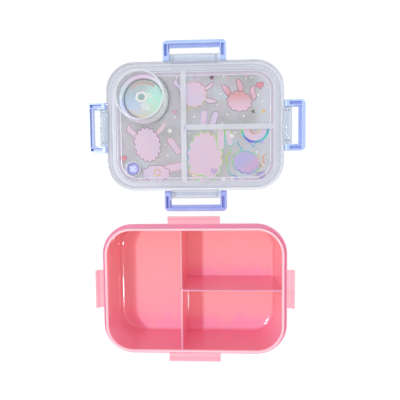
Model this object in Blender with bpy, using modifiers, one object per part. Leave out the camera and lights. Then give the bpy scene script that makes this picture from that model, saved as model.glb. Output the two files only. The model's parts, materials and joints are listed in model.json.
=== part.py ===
"""Lunch box with a divided tray, a clear lid, four bail latches, a dip pot and a vent plug.

Metres, +Z up. The tray stands on the origin. The lid lies behind it on the same surface, underside up,
with its latches opened flat. The lid's own frame has its centre at LID_PLACE and +Z towards its underside,
so turning the lid half a turn about the X-parallel line at SWING_AXIS puts it on the tray.
"""

import math

import bmesh
import bpy

MM = 0.001
RUN_GAP = 0.3 * MM  # between pieces that touch

# Lid: outline, then levels above its outer face
LID_WIDTH, LID_DEPTH, LID_CORNER = 205 * MM, 148.2 * MM, 33 * MM
SKIRT_WALL, SKIRT_HEIGHT = 2.0 * MM, 12.9 * MM
COVER_PANEL = 1.5 * MM
FILM_LOW, FILM_HIGH = 1.8 * MM, 2.1 * MM
LINER_LOW, LINER_HIGH = 2.4 * MM, 3.7 * MM
SEAL_LOW, SEAL_HIGH = 4.0 * MM, 5.6 * MM
BAR_LOW, BAR_HIGH = 4.2 * MM, 5.5 * MM
LINER_INSET, SEAL_OUTER_INSET, SEAL_INNER_INSET = 2.4 * MM, 4.4 * MM, 9.4 * MM
RIB_OUTER_INSET, RIB_INNER_INSET, RIB_HIGH = 9.8 * MM, 11.0 * MM, 5.0 * MM
ROOTED = 0.5 * MM  # how deep a rib or ring starts inside the plate that carries it
BAR_WIDTH = 6.4 * MM

# Tray
RIM_WIDTH, RIM_DEPTH, RIM_CORNER = 191.2 * MM, 134.2 * MM, 28.8 * MM
RIM_HEIGHT, TRAY_WALL, FLOOR = 57 * MM, 1.8 * MM, 2.4 * MM
OUTER_DRAFT, INNER_DRAFT = 2.3 * MM, 2.74 * MM
FOOT_ROUND, FLOOR_ROUND = 3 * MM, 4 * MM
FLANGE_INSET, FLANGE_LOW, FLANGE_HIGH = 2.8 * MM, 47 * MM, 49.5 * MM
FLANGE_STOCK = 1 * MM  # what the flange starts with on top, cut off together with the catches
GUIDE_FOOT, GUIDE_RISE, GUIDE_SPREAD = 0.5 * MM, 20 * MM, 28.5 * MM  # slope that guides the skirt down
DIVIDER_X, DIVIDER_Y = -13.3 * MM, 0.5 * MM
DIVIDER_TOP, DIVIDER_BASE, DIVIDER_HEIGHT = 1.9 * MM, 4.4 * MM, 56.8 * MM
CLOSED_HEIGHT = 62.9 * MM

# Latches: radii are measured from the hinge line, lengths along it
HINGE_OUT, HINGE_HIGH, LATCH_THICK = 4.3 * MM, 3.9 * MM, 7.2 * MM
BAR_NEAR, BAR_FAR, LATCH_CORNER = 13.2 * MM, 20.6 * MM, 5 * MM
LATCH_END = 3.6 * MM
LIP_FAR, LIP_STEP, LIP_SIDE = 16.6 * MM, 1.0 * MM, 1 * MM
POCKET_SHARE, POCKET_FLOOR, POCKET_END = 0.46, -0.5 * MM, 16.2 * MM
PIN_RADIUS, PIN_BORE, PIN_REACH = 1.7 * MM, 1.95 * MM, 4.0 * MM
TAB_OUT, TAB_LOW, TAB_HIGH = 9.8 * MM, 0.6 * MM, 7.2 * MM
TAB_SIDE_GAP = 0.6 * MM
CATCH_OUT, CATCH_HIGH, CATCH_SIDE_GAP, CATCH_CORNER = 79.2 * MM, 54.6 * MM, 1.0 * MM, 1.2 * MM
LONG_LATCH = {"outer": 73.4 * MM, "window": 58.2 * MM}
SHORT_LATCH = {"outer": 58.5 * MM, "window": 43.0 * MM}

# Dip pot and vent, both measured in the lid's frame
POT_X, POT_Y, POT_TOP = -60.2 * MM, 33.2 * MM, 31.5 * MM
POT_MOUTH_RADIUS, POT_END_RADIUS, POT_WALL = 29.5 * MM, 27.8 * MM, 1.2 * MM
POT_BAND, POT_FLOOR, POT_ROUND = 9.8 * MM, 1.5 * MM, 1.5 * MM
FOOT_RADIUS, FOOT_RECESS, POT_CHAMFER = 20.9 * MM, 0.6 * MM, 0.4 * MM
POT_SEAL_THICK, POT_SEAL_IN = 1.4 * MM, 24.2 * MM
COLLAR_IN, COLLAR_OUT, COLLAR_HIGH = 29.9 * MM, 31.0 * MM, 8.7 * MM
PLUG_RING_IN, PLUG_RING_OUT, PLUG_RING_HIGH = 22.2 * MM, 23.4 * MM, 7.0 * MM
VENT_X, VENT_Y = -74 * MM, -48.5 * MM
VENT_RADIUS, VENT_HIGH, VENT_STEM, VENT_LIP = 7.4 * MM, 8.0 * MM, 3.2 * MM, 1.5 * MM
VENT_LOW, VENT_FLOOR, VENT_CHAMFER, VENT_SLOPE = 0.6 * MM, 5.4 * MM, 0.4 * MM, 0.2 * MM
CROSS_LENGTH, CROSS_WIDTH, CROSS_HEIGHTS = 8.4 * MM, 1.9 * MM, (1.3 * MM, 1.4 * MM)
BOSS_IN, BOSS_OUT, BOSS_HIGH = 7.9 * MM, 9.2 * MM, 7.2 * MM
LINER_VENT_HOLE, COVER_VENT_HOLE = 4.0 * MM, 3.7 * MM

# Where the lid lies
LID_SPACING = 180.1 * MM
LID_PLACE = (0.0, LID_SPACING, 0.0)
SWING_AXIS = (0.0, LID_SPACING / 2, CLOSED_HEIGHT / 2)

CORNER_SEGMENTS, ROUND_SEGMENTS, SMALL_SEGMENTS, LATCH_SEGMENTS, TURN_STEPS = 8, 3, 2, 5, 48
EDGE_FLAT = 0.1 * MM  # left between two roundings that would otherwise meet
MERGE = 0.01 * MM
PASS = 5 * MM  # how far a cutter runs past the wall it cuts

PINK, CLEAR, FROST = (0.93, 0.30, 0.38), (0.80, 0.84, 0.90), (0.80, 0.84, 0.88)
LAVENDER, VIOLET, SILVER = (0.42, 0.50, 0.95), (0.40, 0.37, 0.82), (0.60, 0.58, 0.64)


# Scene


def clear_scene():
    for obj in list(bpy.data.objects):
        bpy.data.objects.remove(obj, do_unlink=True)


def new_collection(name):
    collection = bpy.data.collections.new(name)
    bpy.context.scene.collection.children.link(collection)
    return collection


def material(name, colour, roughness, alpha=1.0):
    mat = bpy.data.materials.new(name)
    mat.use_nodes = True
    shader = mat.node_tree.nodes["Principled BSDF"]
    shader.inputs["Base Color"].default_value = (*colour, 1)
    shader.inputs["Roughness"].default_value = roughness
    shader.inputs["Metallic"].default_value = 0.0
    shader.inputs["Alpha"].default_value = alpha
    return mat


def add_object(name, mesh, place=(0, 0, 0), turn=0.0):
    obj = bpy.data.objects.new(name, mesh)
    obj.location = place
    obj.rotation_euler = (0, 0, turn)
    return obj


def keep(obj, collection, finish, parent=None):
    """Puts a finished piece in the model, under an empty on its joint's axis if it has one."""
    collection.objects.link(obj)
    if not obj.data.materials:
        obj.data.materials.append(finish)
    if parent is not None:
        obj.parent = parent
        obj.location = obj.location - parent.location
    return obj


def helper(obj, collection):
    collection.objects.link(obj)
    obj.hide_render = True
    obj.display_type = "WIRE"
    return obj


def combine(target, other, operation):
    step = target.modifiers.new(f"{operation.lower()} {other.name}", "BOOLEAN")
    step.operation = operation
    step.object = other


# Shapes


def block_mesh(name, width, depth, low, high, corner=0.0, draft=(0, 0), foot=0.0, segments=CORNER_SEGMENTS):
    """An upright block with rounded vertical edges, sides that draw in by draft at the foot, and a rounded
    edge round the foot."""
    bm = bmesh.new()
    bmesh.ops.create_cube(bm, size=1.0)
    bmesh.ops.scale(bm, vec=(width, depth, high - low), verts=bm.verts)
    bmesh.ops.translate(bm, vec=(0, 0, (low + high) / 2), verts=bm.verts)
    if corner:
        upright = [e for e in bm.edges if abs(e.verts[0].co.z - e.verts[1].co.z) > (high - low) / 2]
        bmesh.ops.bevel(
            bm, geom=upright, offset=corner, offset_type="OFFSET", segments=segments, profile=0.5,
            affect="EDGES",
        )
    middle = (low + high) / 2
    foot_verts = [v for v in bm.verts if v.co.z < middle]
    factors = (1 - 2 * draft[0] / width, 1 - 2 * draft[1] / depth, 1)
    bmesh.ops.scale(bm, vec=factors, verts=foot_verts)
    if foot:
        round_foot = [e for e in bm.edges if all(v.co.z < middle for v in e.verts)]
        bmesh.ops.bevel(
            bm, geom=round_foot, offset=foot, offset_type="OFFSET", segments=ROUND_SEGMENTS, profile=0.5,
            affect="EDGES",
        )
    mesh = bpy.data.meshes.new(name)
    bm.to_mesh(mesh)
    bm.free()
    return mesh


def lid_block(name, inset, low, high):
    """A block that follows the lid's outline, set in from it."""
    return block_mesh(
        name, LID_WIDTH - 2 * inset, LID_DEPTH - 2 * inset, low, high, corner=LID_CORNER - inset
    )


def box(name, low, high):
    """A plain box between two corners, as an object at its centre."""
    size = [b - a for a, b in zip(low, high)]
    centre = [(a + b) / 2 for a, b in zip(low, high)]
    mesh = block_mesh(name, size[0], size[1], -size[2] / 2, size[2] / 2)
    return add_object(name, mesh, centre)


def turned(name, profile, place, closed=False, steps=TURN_STEPS):
    """A profile of (radius, height) points turned about Z. Its outer side runs from top to bottom."""
    count = len(profile)
    edges = [(i, i + 1) for i in range(count - 1)]
    if closed:
        edges.append((count - 1, 0))
    mesh = bpy.data.meshes.new(name)
    mesh.from_pydata([(r, 0, z) for r, z in profile], edges, [])
    obj = add_object(name, mesh, place)
    screw = obj.modifiers.new("turn", "SCREW")
    screw.steps = screw.render_steps = steps
    screw.use_merge_vertices = True
    screw.merge_threshold = MERGE
    screw.use_smooth_shade = True
    return obj


def ring(name, inner, outer, low, high, place):
    return turned(name, [(outer, high), (outer, low), (inner, low), (inner, high)], place, closed=True)


def rod(name, radius, low, high, place):
    return turned(name, [(0, high), (radius, high), (radius, low), (0, low)], place, steps=TURN_STEPS // 2)


def baked(obj):
    """The object's mesh with its modifiers applied."""
    graph = bpy.context.evaluated_depsgraph_get()
    return bpy.data.meshes.new_from_object(obj.evaluated_get(graph))


def lid_point(x, y, z=0.0):
    return (LID_PLACE[0] + x, LID_PLACE[1] + y, LID_PLACE[2] + z)


def sides():
    """For each side of the box: name, turn about Z from +Y, half size of the lid that way, and its latch."""
    yield "front", 0.0, LID_DEPTH / 2, LONG_LATCH
    yield "left", math.pi / 2, LID_WIDTH / 2, SHORT_LATCH
    yield "back", math.pi, LID_DEPTH / 2, LONG_LATCH
    yield "right", -math.pi / 2, LID_WIDTH / 2, SHORT_LATCH


def outward(turn, distance):
    """The point this far from the centre, on the side that turn gives."""
    return (-math.sin(turn) * distance, math.cos(turn) * distance)


# Tray


def catch_block(side, turn, half, latch):
    """The lug that one latch hooks under, from inside the flange to its outer end."""
    reach = half - LID_DEPTH / 2 + CATCH_OUT
    start = half - LID_DEPTH / 2 + RIM_DEPTH / 2
    width = latch["window"] - 2 * CATCH_SIDE_GAP
    low = CLOSED_HEIGHT - HINGE_HIGH - BAR_NEAR + RUN_GAP
    name = f"catch_{side}"
    mesh = block_mesh(name, width, reach - start, low, CATCH_HIGH, CATCH_CORNER, segments=SMALL_SEGMENTS)
    return add_object(name, mesh, (*outward(turn, (reach + start) / 2), 0), turn)


def over_flange():
    """What is cut off the catches: the room for the lid's skirt, which opens upwards. Its slope also keeps
    the catches out of the skirt's way as the lid swings down."""
    spread = 2 * (GUIDE_FOOT + GUIDE_SPREAD)
    mesh = block_mesh(
        "over_flange", LID_WIDTH + spread, LID_DEPTH + spread, FLANGE_HIGH, FLANGE_HIGH + GUIDE_RISE,
        LID_CORNER + spread / 2, draft=(GUIDE_SPREAD, GUIDE_SPREAD),
    )
    return add_object("over_flange", mesh)


def divider(name, length, place, turn):
    """A dividing wall that is thicker at its foot, with ends that follow the slope of the tray's sides."""
    draft = ((OUTER_DRAFT + INNER_DRAFT) / 2, (DIVIDER_TOP - DIVIDER_BASE) / 2)
    mesh = block_mesh(name, length, DIVIDER_TOP, FLOOR / 2, DIVIDER_HEIGHT, draft=draft)
    return add_object(name, mesh, place, turn)


def make_tray(model, cutters, finish):
    flange = lid_block("tray", FLANGE_INSET, FLANGE_LOW, FLANGE_HIGH + FLANGE_STOCK)
    tray = keep(add_object("tray", flange), model, finish)
    for side in sides():
        combine(tray, helper(catch_block(*side), cutters), "UNION")
    combine(tray, helper(over_flange(), cutters), "DIFFERENCE")
    shell = block_mesh(
        "tray_shell", RIM_WIDTH, RIM_DEPTH, 0, RIM_HEIGHT, RIM_CORNER, (OUTER_DRAFT, OUTER_DRAFT), FOOT_ROUND
    )
    combine(tray, helper(add_object("tray_shell", shell), cutters), "UNION")
    hollow = block_mesh(
        "tray_hollow", RIM_WIDTH - 2 * TRAY_WALL, RIM_DEPTH - 2 * TRAY_WALL, FLOOR, RIM_HEIGHT + PASS / 2,
        RIM_CORNER - TRAY_WALL, (INNER_DRAFT, INNER_DRAFT), FLOOR_ROUND,
    )
    combine(tray, helper(add_object("tray_hollow", hollow), cutters), "DIFFERENCE")
    long_wall = divider("long_divider", RIM_DEPTH - TRAY_WALL, (DIVIDER_X, 0, 0), math.pi / 2)
    combine(tray, helper(long_wall, cutters), "UNION")
    start = DIVIDER_X - DIVIDER_TOP / 4
    end = (RIM_WIDTH - TRAY_WALL) / 2
    short_wall = divider("short_divider", end - start, ((start + end) / 2, DIVIDER_Y, 0), 0.0)
    combine(tray, helper(short_wall, cutters), "UNION")
    return tray


# Lid


def make_lid_cover(model, cutters, finish, parent):
    """The outer shell: panel, skirt, and a hinge block with two trunnions on each side."""
    cover = add_object("lid_cover", lid_block("lid_cover", 0, 0, SKIRT_HEIGHT), LID_PLACE)
    hollow = lid_block("cover_hollow", SKIRT_WALL, COVER_PANEL, SKIRT_HEIGHT + PASS)
    combine(cover, helper(add_object("cover_hollow", hollow, LID_PLACE), cutters), "DIFFERENCE")
    for side, turn, half, latch in sides():
        width = latch["window"] - 2 * TAB_SIDE_GAP
        start = half - SKIRT_WALL / 2
        depth = half + TAB_OUT - start
        tab = block_mesh(f"tab_{side}", width, depth, TAB_LOW, TAB_HIGH)
        place = lid_point(*outward(turn, start + depth / 2))
        combine(cover, helper(add_object(f"tab_{side}", tab, place, turn), cutters), "UNION")
        length = latch["window"] + 2 * PIN_REACH
        pin = rod(
            f"pin_{side}", PIN_RADIUS, -length / 2, length / 2,
            lid_point(*outward(turn, half + HINGE_OUT), HINGE_HIGH),
        )
        pin.rotation_euler = (0, math.pi / 2, turn)
        combine(cover, helper(pin, cutters), "UNION")
    hole = rod("cover_vent_hole", COVER_VENT_HOLE, -PASS, PASS, lid_point(VENT_X, VENT_Y))
    combine(cover, helper(hole, cutters), "DIFFERENCE")
    return keep(cover, model, finish, parent)


def make_lid_film(model, cutters, finish, parent):
    film = add_object("lid_film", lid_block("lid_film", LINER_INSET, FILM_LOW, FILM_HIGH), LID_PLACE)
    hole = rod("film_vent_hole", LINER_VENT_HOLE, -PASS, PASS, lid_point(VENT_X, VENT_Y))
    combine(film, helper(hole, cutters), "DIFFERENCE")
    return keep(film, model, finish, parent)


def bar_boxes(prefix, low, high, side_gap, end_inset):
    """The T that lies over the tray's dividers: one bar across the lid and one from it to the right side.
    The lid lies turned over, so its short bar is at minus the short divider's place."""
    half = BAR_WIDTH / 2 + side_gap
    reach_x, reach_y = LID_WIDTH / 2 - end_inset, LID_DEPTH / 2 - end_inset
    corner = lid_point(DIVIDER_X - half, -reach_y, low)
    yield box(f"{prefix}_long", corner, lid_point(DIVIDER_X + half, reach_y, high))
    corner = lid_point(DIVIDER_X, -DIVIDER_Y - half, low)
    yield box(f"{prefix}_short", corner, lid_point(reach_x, half - DIVIDER_Y, high))


def make_lid_liner(model, cutters, finish, parent):
    """The inner panel: a rib inside the seal, a collar and a ring for the pot, and a boss for the vent."""
    root = LINER_HIGH - ROOTED
    liner = add_object("lid_liner", lid_block("lid_liner", RIB_OUTER_INSET, root, RIB_HIGH), LID_PLACE)
    inside = lid_block("rib_inside", RIB_INNER_INSET, root - PASS, RIB_HIGH + PASS)
    combine(liner, helper(add_object("rib_inside", inside, LID_PLACE), cutters), "DIFFERENCE")
    for notch in bar_boxes("notch", BAR_LOW - RUN_GAP, RIB_HIGH + PASS, RUN_GAP, SEAL_OUTER_INSET):
        combine(liner, helper(notch, cutters), "DIFFERENCE")
    plate = lid_block("liner_plate", LINER_INSET, LINER_LOW, LINER_HIGH)
    combine(liner, helper(add_object("liner_plate", plate, LID_PLACE), cutters), "UNION")
    rings = (
        ("pot_collar", COLLAR_IN, COLLAR_OUT, COLLAR_HIGH, POT_X, POT_Y),
        ("pot_ring", PLUG_RING_IN, PLUG_RING_OUT, PLUG_RING_HIGH, POT_X, POT_Y),
        ("vent_boss", BOSS_IN, BOSS_OUT, BOSS_HIGH, VENT_X, VENT_Y),
    )
    for name, inner, outer, high, x, y in rings:
        combine(liner, helper(ring(name, inner, outer, root, high, lid_point(x, y)), cutters), "UNION")
    hole = rod("liner_vent_hole", LINER_VENT_HOLE, -PASS, PASS + LINER_HIGH, lid_point(VENT_X, VENT_Y))
    combine(liner, helper(hole, cutters), "DIFFERENCE")
    return keep(liner, model, finish, parent)


def make_lid_seal(model, cutters, finish, parent):
    """One silicone moulding: a band over the tray's rim and a T over its dividers."""
    seal = add_object("lid_seal", lid_block("lid_seal", SEAL_OUTER_INSET, SEAL_LOW, SEAL_HIGH), LID_PLACE)
    inside = lid_block("seal_inside", SEAL_INNER_INSET, SEAL_LOW - PASS, SEAL_HIGH + PASS)
    combine(seal, helper(add_object("seal_inside", inside, LID_PLACE), cutters), "DIFFERENCE")
    middle_of_band = (SEAL_OUTER_INSET + SEAL_INNER_INSET) / 2
    for bar in bar_boxes("seal_bar", BAR_LOW, BAR_HIGH, 0.0, middle_of_band):
        combine(seal, helper(bar, cutters), "UNION")
    return keep(seal, model, finish, parent)


# Latches


def latch_mesh(name, latch, cutters):
    """A bail about its hinge line: two arms and a bar along +Y, thickness along Z, inner face up."""
    outer, window = latch["outer"], latch["window"]
    arm = (outer - window) / 2
    half = LATCH_THICK / 2
    bm = bmesh.new()
    bmesh.ops.create_cube(bm, size=1.0)
    bmesh.ops.scale(bm, vec=(outer, BAR_FAR + LATCH_END, LATCH_THICK), verts=bm.verts)
    bmesh.ops.translate(bm, vec=(0, (BAR_FAR - LATCH_END) / 2, 0), verts=bm.verts)
    outer_corners = [
        e for e in bm.edges if abs(e.verts[0].co.z - e.verts[1].co.z) > half and e.verts[0].co.y > 0
    ]
    bmesh.ops.bevel(
        bm, geom=outer_corners, offset=LATCH_CORNER, segments=LATCH_SEGMENTS, profile=0.5, affect="EDGES"
    )
    hinge_end = [e for e in bm.edges if all(v.co.y < 0 for v in e.verts) and e.calc_length() > outer / 2]
    bmesh.ops.bevel(
        bm, geom=hinge_end, offset=half - EDGE_FLAT, segments=LATCH_SEGMENTS, profile=0.5, affect="EDGES"
    )
    mesh = bpy.data.meshes.new(name)
    bm.to_mesh(mesh)
    bm.free()
    frame = helper(add_object(name, mesh), cutters)
    for cut in latch_cutters(name, window, arm):
        combine(frame, helper(cut, cutters), "DIFFERENCE")
    return baked(frame)


def latch_cutters(name, window, arm):
    """The window, the step behind the bar's lip, a pocket in each arm, and the bores for the trunnions."""
    above = LATCH_THICK / 2 + PASS
    yield box(f"{name}_window", (-window / 2, -PASS - LATCH_END, -above), (window / 2, BAR_NEAR, above))
    step = window / 2 + LIP_SIDE
    yield box(f"{name}_step", (-step, (BAR_NEAR + LATCH_END) / 2, LIP_STEP), (step, LIP_FAR, above))
    pocket = arm * POCKET_SHARE
    for sign in (-1, 1):
        centre = sign * (window + arm) / 2
        low = (centre - pocket / 2, LATCH_END, POCKET_FLOOR)
        yield box(f"{name}_pocket", low, (centre + pocket / 2, POCKET_END, above))
    bore_half = window / 2 + PIN_REACH + RUN_GAP
    bore = rod(f"{name}_bore", PIN_BORE, -bore_half, bore_half, (0, 0, 0))
    bore.rotation_euler = (0, math.pi / 2, 0)
    yield bore


def make_latches(model, cutters, finish, parent):
    meshes = {
        id(LONG_LATCH): latch_mesh("long_latch_shape", LONG_LATCH, cutters),
        id(SHORT_LATCH): latch_mesh("short_latch_shape", SHORT_LATCH, cutters),
    }
    for side, turn, half, latch in sides():
        place = lid_point(*outward(turn, half + HINGE_OUT), HINGE_HIGH)
        keep(add_object(f"latch_{side}", meshes[id(latch)], place, turn), model, finish, parent)


# Dip pot and vent plug


def make_dip_pot(model, finish, parent):
    """A cup that hangs mouth to the lid, so it lies bottom up here."""
    mouth = SEAL_LOW + POT_SEAL_THICK + RUN_GAP
    floor = POT_TOP - POT_FLOOR
    profile = [
        (0, POT_TOP - FOOT_RECESS),
        (FOOT_RADIUS - FOOT_RECESS, POT_TOP - FOOT_RECESS),
        (FOOT_RADIUS, POT_TOP),
        (POT_END_RADIUS - POT_ROUND, POT_TOP),
        (POT_END_RADIUS - POT_CHAMFER, POT_TOP - POT_CHAMFER),
        (POT_END_RADIUS, POT_TOP - POT_ROUND),
        (POT_MOUTH_RADIUS, POT_BAND),
        (POT_MOUTH_RADIUS, mouth),
        (POT_MOUTH_RADIUS - POT_WALL, mouth),
        (POT_MOUTH_RADIUS - POT_WALL, POT_BAND),
        (POT_END_RADIUS - POT_WALL, floor - POT_ROUND),
        (POT_END_RADIUS - POT_WALL - POT_ROUND, floor),
        (0, floor),
    ]
    pot = turned("dip_pot", profile, lid_point(POT_X, POT_Y))
    return keep(pot, model, finish, parent)


def make_dip_pot_seal(model, finish, parent):
    place = lid_point(POT_X, POT_Y)
    seal = ring("dip_pot_seal", POT_SEAL_IN, POT_MOUTH_RADIUS, SEAL_LOW, SEAL_LOW + POT_SEAL_THICK, place)
    return keep(seal, model, finish, parent)


def make_vent_plug(model, cutters, finish, parent):
    """A stem through the lid with a shallow cup on its inner end and a cross in the cup."""
    profile = [
        (0, VENT_FLOOR),
        (VENT_RADIUS - VENT_LIP - VENT_SLOPE, VENT_FLOOR),
        (VENT_RADIUS - VENT_LIP, VENT_HIGH),
        (VENT_RADIUS - VENT_CHAMFER, VENT_HIGH),
        (VENT_RADIUS, VENT_HIGH - VENT_CHAMFER),
        (VENT_RADIUS, SEAL_LOW),
        (VENT_STEM, SEAL_LOW),
        (VENT_STEM, VENT_LOW),
        (0, VENT_LOW),
    ]
    place = lid_point(VENT_X, VENT_Y)
    plug = turned("vent_plug", profile, place, steps=TURN_STEPS * 2 // 3)
    for turn, height in zip((math.pi / 4, -math.pi / 4), CROSS_HEIGHTS):
        name = f"cross_{round(math.degrees(turn))}"
        arm = block_mesh(name, CROSS_LENGTH, CROSS_WIDTH, VENT_FLOOR - ROOTED, VENT_FLOOR + height)
        combine(plug, helper(add_object(name, arm, place, turn), cutters), "UNION")
    return keep(plug, model, finish, parent)


def main():
    clear_scene()
    model = new_collection("lunch_box")
    cutters = new_collection("cutters")
    swing = bpy.data.objects.new("lid_swing_axis", None)
    swing.location = SWING_AXIS
    model.objects.link(swing)
    clear_plastic = material("clear_plastic", CLEAR, 0.1, alpha=0.35)
    silicone = material("silicone", FROST, 0.5)
    make_tray(model, cutters, material("pink_plastic", PINK, 0.15, alpha=0.8))
    make_lid_cover(model, cutters, clear_plastic, swing)
    make_lid_film(model, cutters, material("holographic_film", SILVER, 0.25, alpha=0.8), swing)
    make_lid_liner(model, cutters, clear_plastic, swing)
    make_lid_seal(model, cutters, silicone, swing)
    make_latches(model, cutters, material("lavender_plastic", LAVENDER, 0.3), swing)
    make_dip_pot(model, clear_plastic, swing)
    make_dip_pot_seal(model, silicone, swing)
    make_vent_plug(model, cutters, material("violet_silicone", VIOLET, 0.45), swing)


main()
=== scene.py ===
"""Looks for the open lunch box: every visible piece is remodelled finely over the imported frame.

Metres, in the row frame. The lid lies underside up behind the tray, and its own levels are heights above
the surface it lies on.
"""

import json
import math

import bmesh
import bpy
from mathutils import Matrix, Vector


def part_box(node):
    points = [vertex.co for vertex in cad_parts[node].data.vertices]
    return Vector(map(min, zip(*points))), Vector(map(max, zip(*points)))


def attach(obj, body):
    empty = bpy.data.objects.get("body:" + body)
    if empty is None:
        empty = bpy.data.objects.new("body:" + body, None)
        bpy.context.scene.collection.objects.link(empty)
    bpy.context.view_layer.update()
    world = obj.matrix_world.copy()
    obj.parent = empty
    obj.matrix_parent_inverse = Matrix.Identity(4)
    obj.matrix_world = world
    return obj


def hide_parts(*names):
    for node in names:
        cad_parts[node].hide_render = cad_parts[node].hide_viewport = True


MM = 0.001
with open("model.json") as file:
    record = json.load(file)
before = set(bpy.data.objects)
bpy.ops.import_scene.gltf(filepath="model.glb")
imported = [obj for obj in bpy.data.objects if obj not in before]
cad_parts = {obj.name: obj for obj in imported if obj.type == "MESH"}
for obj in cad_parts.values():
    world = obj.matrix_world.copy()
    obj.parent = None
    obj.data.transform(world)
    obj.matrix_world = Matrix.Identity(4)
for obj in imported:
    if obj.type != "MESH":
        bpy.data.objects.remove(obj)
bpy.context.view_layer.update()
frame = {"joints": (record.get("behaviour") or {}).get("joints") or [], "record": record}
HINGES = {joint["child"]: Vector(joint["pos_m"]) for joint in frame["joints"] if joint["type"] == "hinge"}
BODIES = {node: body for body, nodes in frame["record"]["behaviour"]["bodies"].items() for node in nodes}


def middle(box):
    """The middle of a box, seen from above."""
    return ((box[0] + box[1]) / 2).xy


# Lid, from the frame: its film, liner, seal, pot and vent give the places
FILM_BOX, LINER_BOX, SEAL_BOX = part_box("lid_film"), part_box("lid_liner"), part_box("lid_seal")
POT_BOX, POT_SEAL_BOX, VENT_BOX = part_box("dip_pot"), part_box("dip_pot_seal"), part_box("vent_plug")
COVER_BOX, TRAY_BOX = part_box("lid_cover"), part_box("tray")
POT_CENTRE, VENT_CENTRE = middle(POT_BOX), middle(VENT_BOX)
LID_CENTRE = middle(FILM_BOX)
LID_X, LID_Y = LID_CENTRE
FILM_INSET = 2.4 * MM
LID_OUTLINE = (
    (FILM_BOX[1].x - FILM_BOX[0].x) / 2 + FILM_INSET,
    (FILM_BOX[1].y - FILM_BOX[0].y) / 2 + FILM_INSET,
    33 * MM,
)
FILM_LOW, FILM_TOP = FILM_BOX[0].z, FILM_BOX[1].z
LINER_LOW, LINER_TOP = LINER_BOX[0].z, 3.7 * MM
RIB_ROOT = LINER_TOP - 0.2 * MM
PANEL_TOP, SKIRT_TOP = 1.5 * MM, COVER_BOX[1].z
PANEL_REACH = 20 * MM  # how far in from the outline a panel's caps start
BAR_X, BAR_Y, BAR_HALF = -13.3 * MM, -0.5 * MM, 3.2 * MM

# Tray
RIM_OUTLINE = (95.6 * MM, 67.1 * MM, 28.8 * MM)
RIM_TOP = TRAY_BOX[1].z
TRAY_WALL, FLOOR_TOP, OUTER_DRAFT, INNER_DRAFT = 1.8 * MM, 2.4 * MM, 2.3 * MM, 2.74 * MM
FLANGE_LOW, FLANGE_TOP, FLANGE_OUT = 47 * MM, 49.5 * MM, 4.1 * MM
DIVIDER_X, DIVIDER_Y, DIVIDER_TOP = -13.3 * MM, 0.5 * MM, 56.8 * MM
DIVIDER_HALF_TOP, DIVIDER_HALF_FOOT = 0.95 * MM, 2.2 * MM
CATCH_LOW, CATCH_TOP, CATCH_STEP = 46.1 * MM, 52.5 * MM, 0.8 * MM

# Latches: how wide a bail and its window are, and how far from the hinge its bar and its end lie
LONG = {"outer": 73.4 * MM, "window": 58.2 * MM}
SHORT = {"outer": 58.5 * MM, "window": 43.0 * MM}
LATCH_SIZES = {"latch_front": LONG, "latch_back": LONG, "latch_left": SHORT, "latch_right": SHORT}
BAR_NEAR, BAR_FAR, LATCH_END, LATCH_THICK = 13.2 * MM, 20.6 * MM, 3.6 * MM, 7.2 * MM
TAB_OUT, TAB_LOW, TAB_HIGH = 9.8 * MM, 0.6 * MM, 7.2 * MM
TAB_GAP = 0.6 * MM

CORNER_STEPS, TURN_STEPS = 18, 96
SHARP_ANGLE = math.radians(38)


# Mesh helpers


def arc(centre, radius, start, end, steps):
    """Points on an arc in a section, from start to end in degrees."""
    for index in range(steps + 1):
        angle = math.radians(start + (end - start) * index / steps)
        yield (centre[0] + radius * math.cos(angle), centre[1] + radius * math.sin(angle))


def full_turn(steps):
    """Angles once round, counterclockwise."""
    return [2 * math.pi * index / steps for index in range(steps)]


def oval(half_x, half_y, steps):
    return [(half_x * math.cos(a), half_y * math.sin(a)) for a in full_turn(steps)]


def polar(reach, angle):
    return (reach * math.cos(angle), reach * math.sin(angle))


def outline(half_x, half_y, corner):
    """A rounded rectangle about the origin, counterclockwise."""
    points = []
    for index, (sign_x, sign_y) in enumerate(((1, 1), (-1, 1), (-1, -1), (1, -1))):
        centre = (sign_x * (half_x - corner), sign_y * (half_y - corner))
        points += arc(centre, corner, 90 * index, 90 * index + 90, CORNER_STEPS)
    return points


def loft(rings, closed=False, bm=None):
    """Joins rings of points into a skin, in a new mesh or a given one. Open lofts get a cap at both ends."""
    if bm is None:
        bm = bmesh.new()
    rows = [[bm.verts.new(point) for point in ring] for ring in rings]
    pairs = list(zip(rows, rows[1:]))
    if closed:
        pairs.append((rows[-1], rows[0]))
    for row, following in pairs:
        for index in range(len(row)):
            after = (index + 1) % len(row)
            bm.faces.new((row[index], row[after], following[after], following[index]))
    if not closed:
        bm.faces.new(list(reversed(rows[0])))
        bm.faces.new(rows[-1])
    return bm


def rim_loft(base, section, centre=(0, 0), closed=False, bm=None):
    """Runs a section of (inset, height) points round a rounded rectangle."""
    rings = []
    for inset, height in section:
        corner = max(base[2] - inset, 0.5 * MM)
        ring = outline(base[0] - inset, base[1] - inset, corner)
        rings.append([(centre[0] + x, centre[1] + y, height) for x, y in ring])
    return loft(rings, closed, bm)


def lid_loft(section, closed=False, bm=None):
    return rim_loft(LID_OUTLINE, section, LID_CENTRE, closed, bm)


def turn_loft(section, centre, closed=False, steps=TURN_STEPS, bm=None):
    """Turns a section of (radius, height) points about a vertical line."""
    rings = []
    for radius, height in section:
        rings.append([(centre[0] + x, centre[1] + y, height) for x, y in oval(radius, radius, steps)])
    return loft(rings, closed, bm)


def prism(points, low, high, place):
    """An upright block on an outline, moved into place."""
    return loft([[place @ Vector((x, y, z)) for x, y in points] for z in (low, high)])


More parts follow.
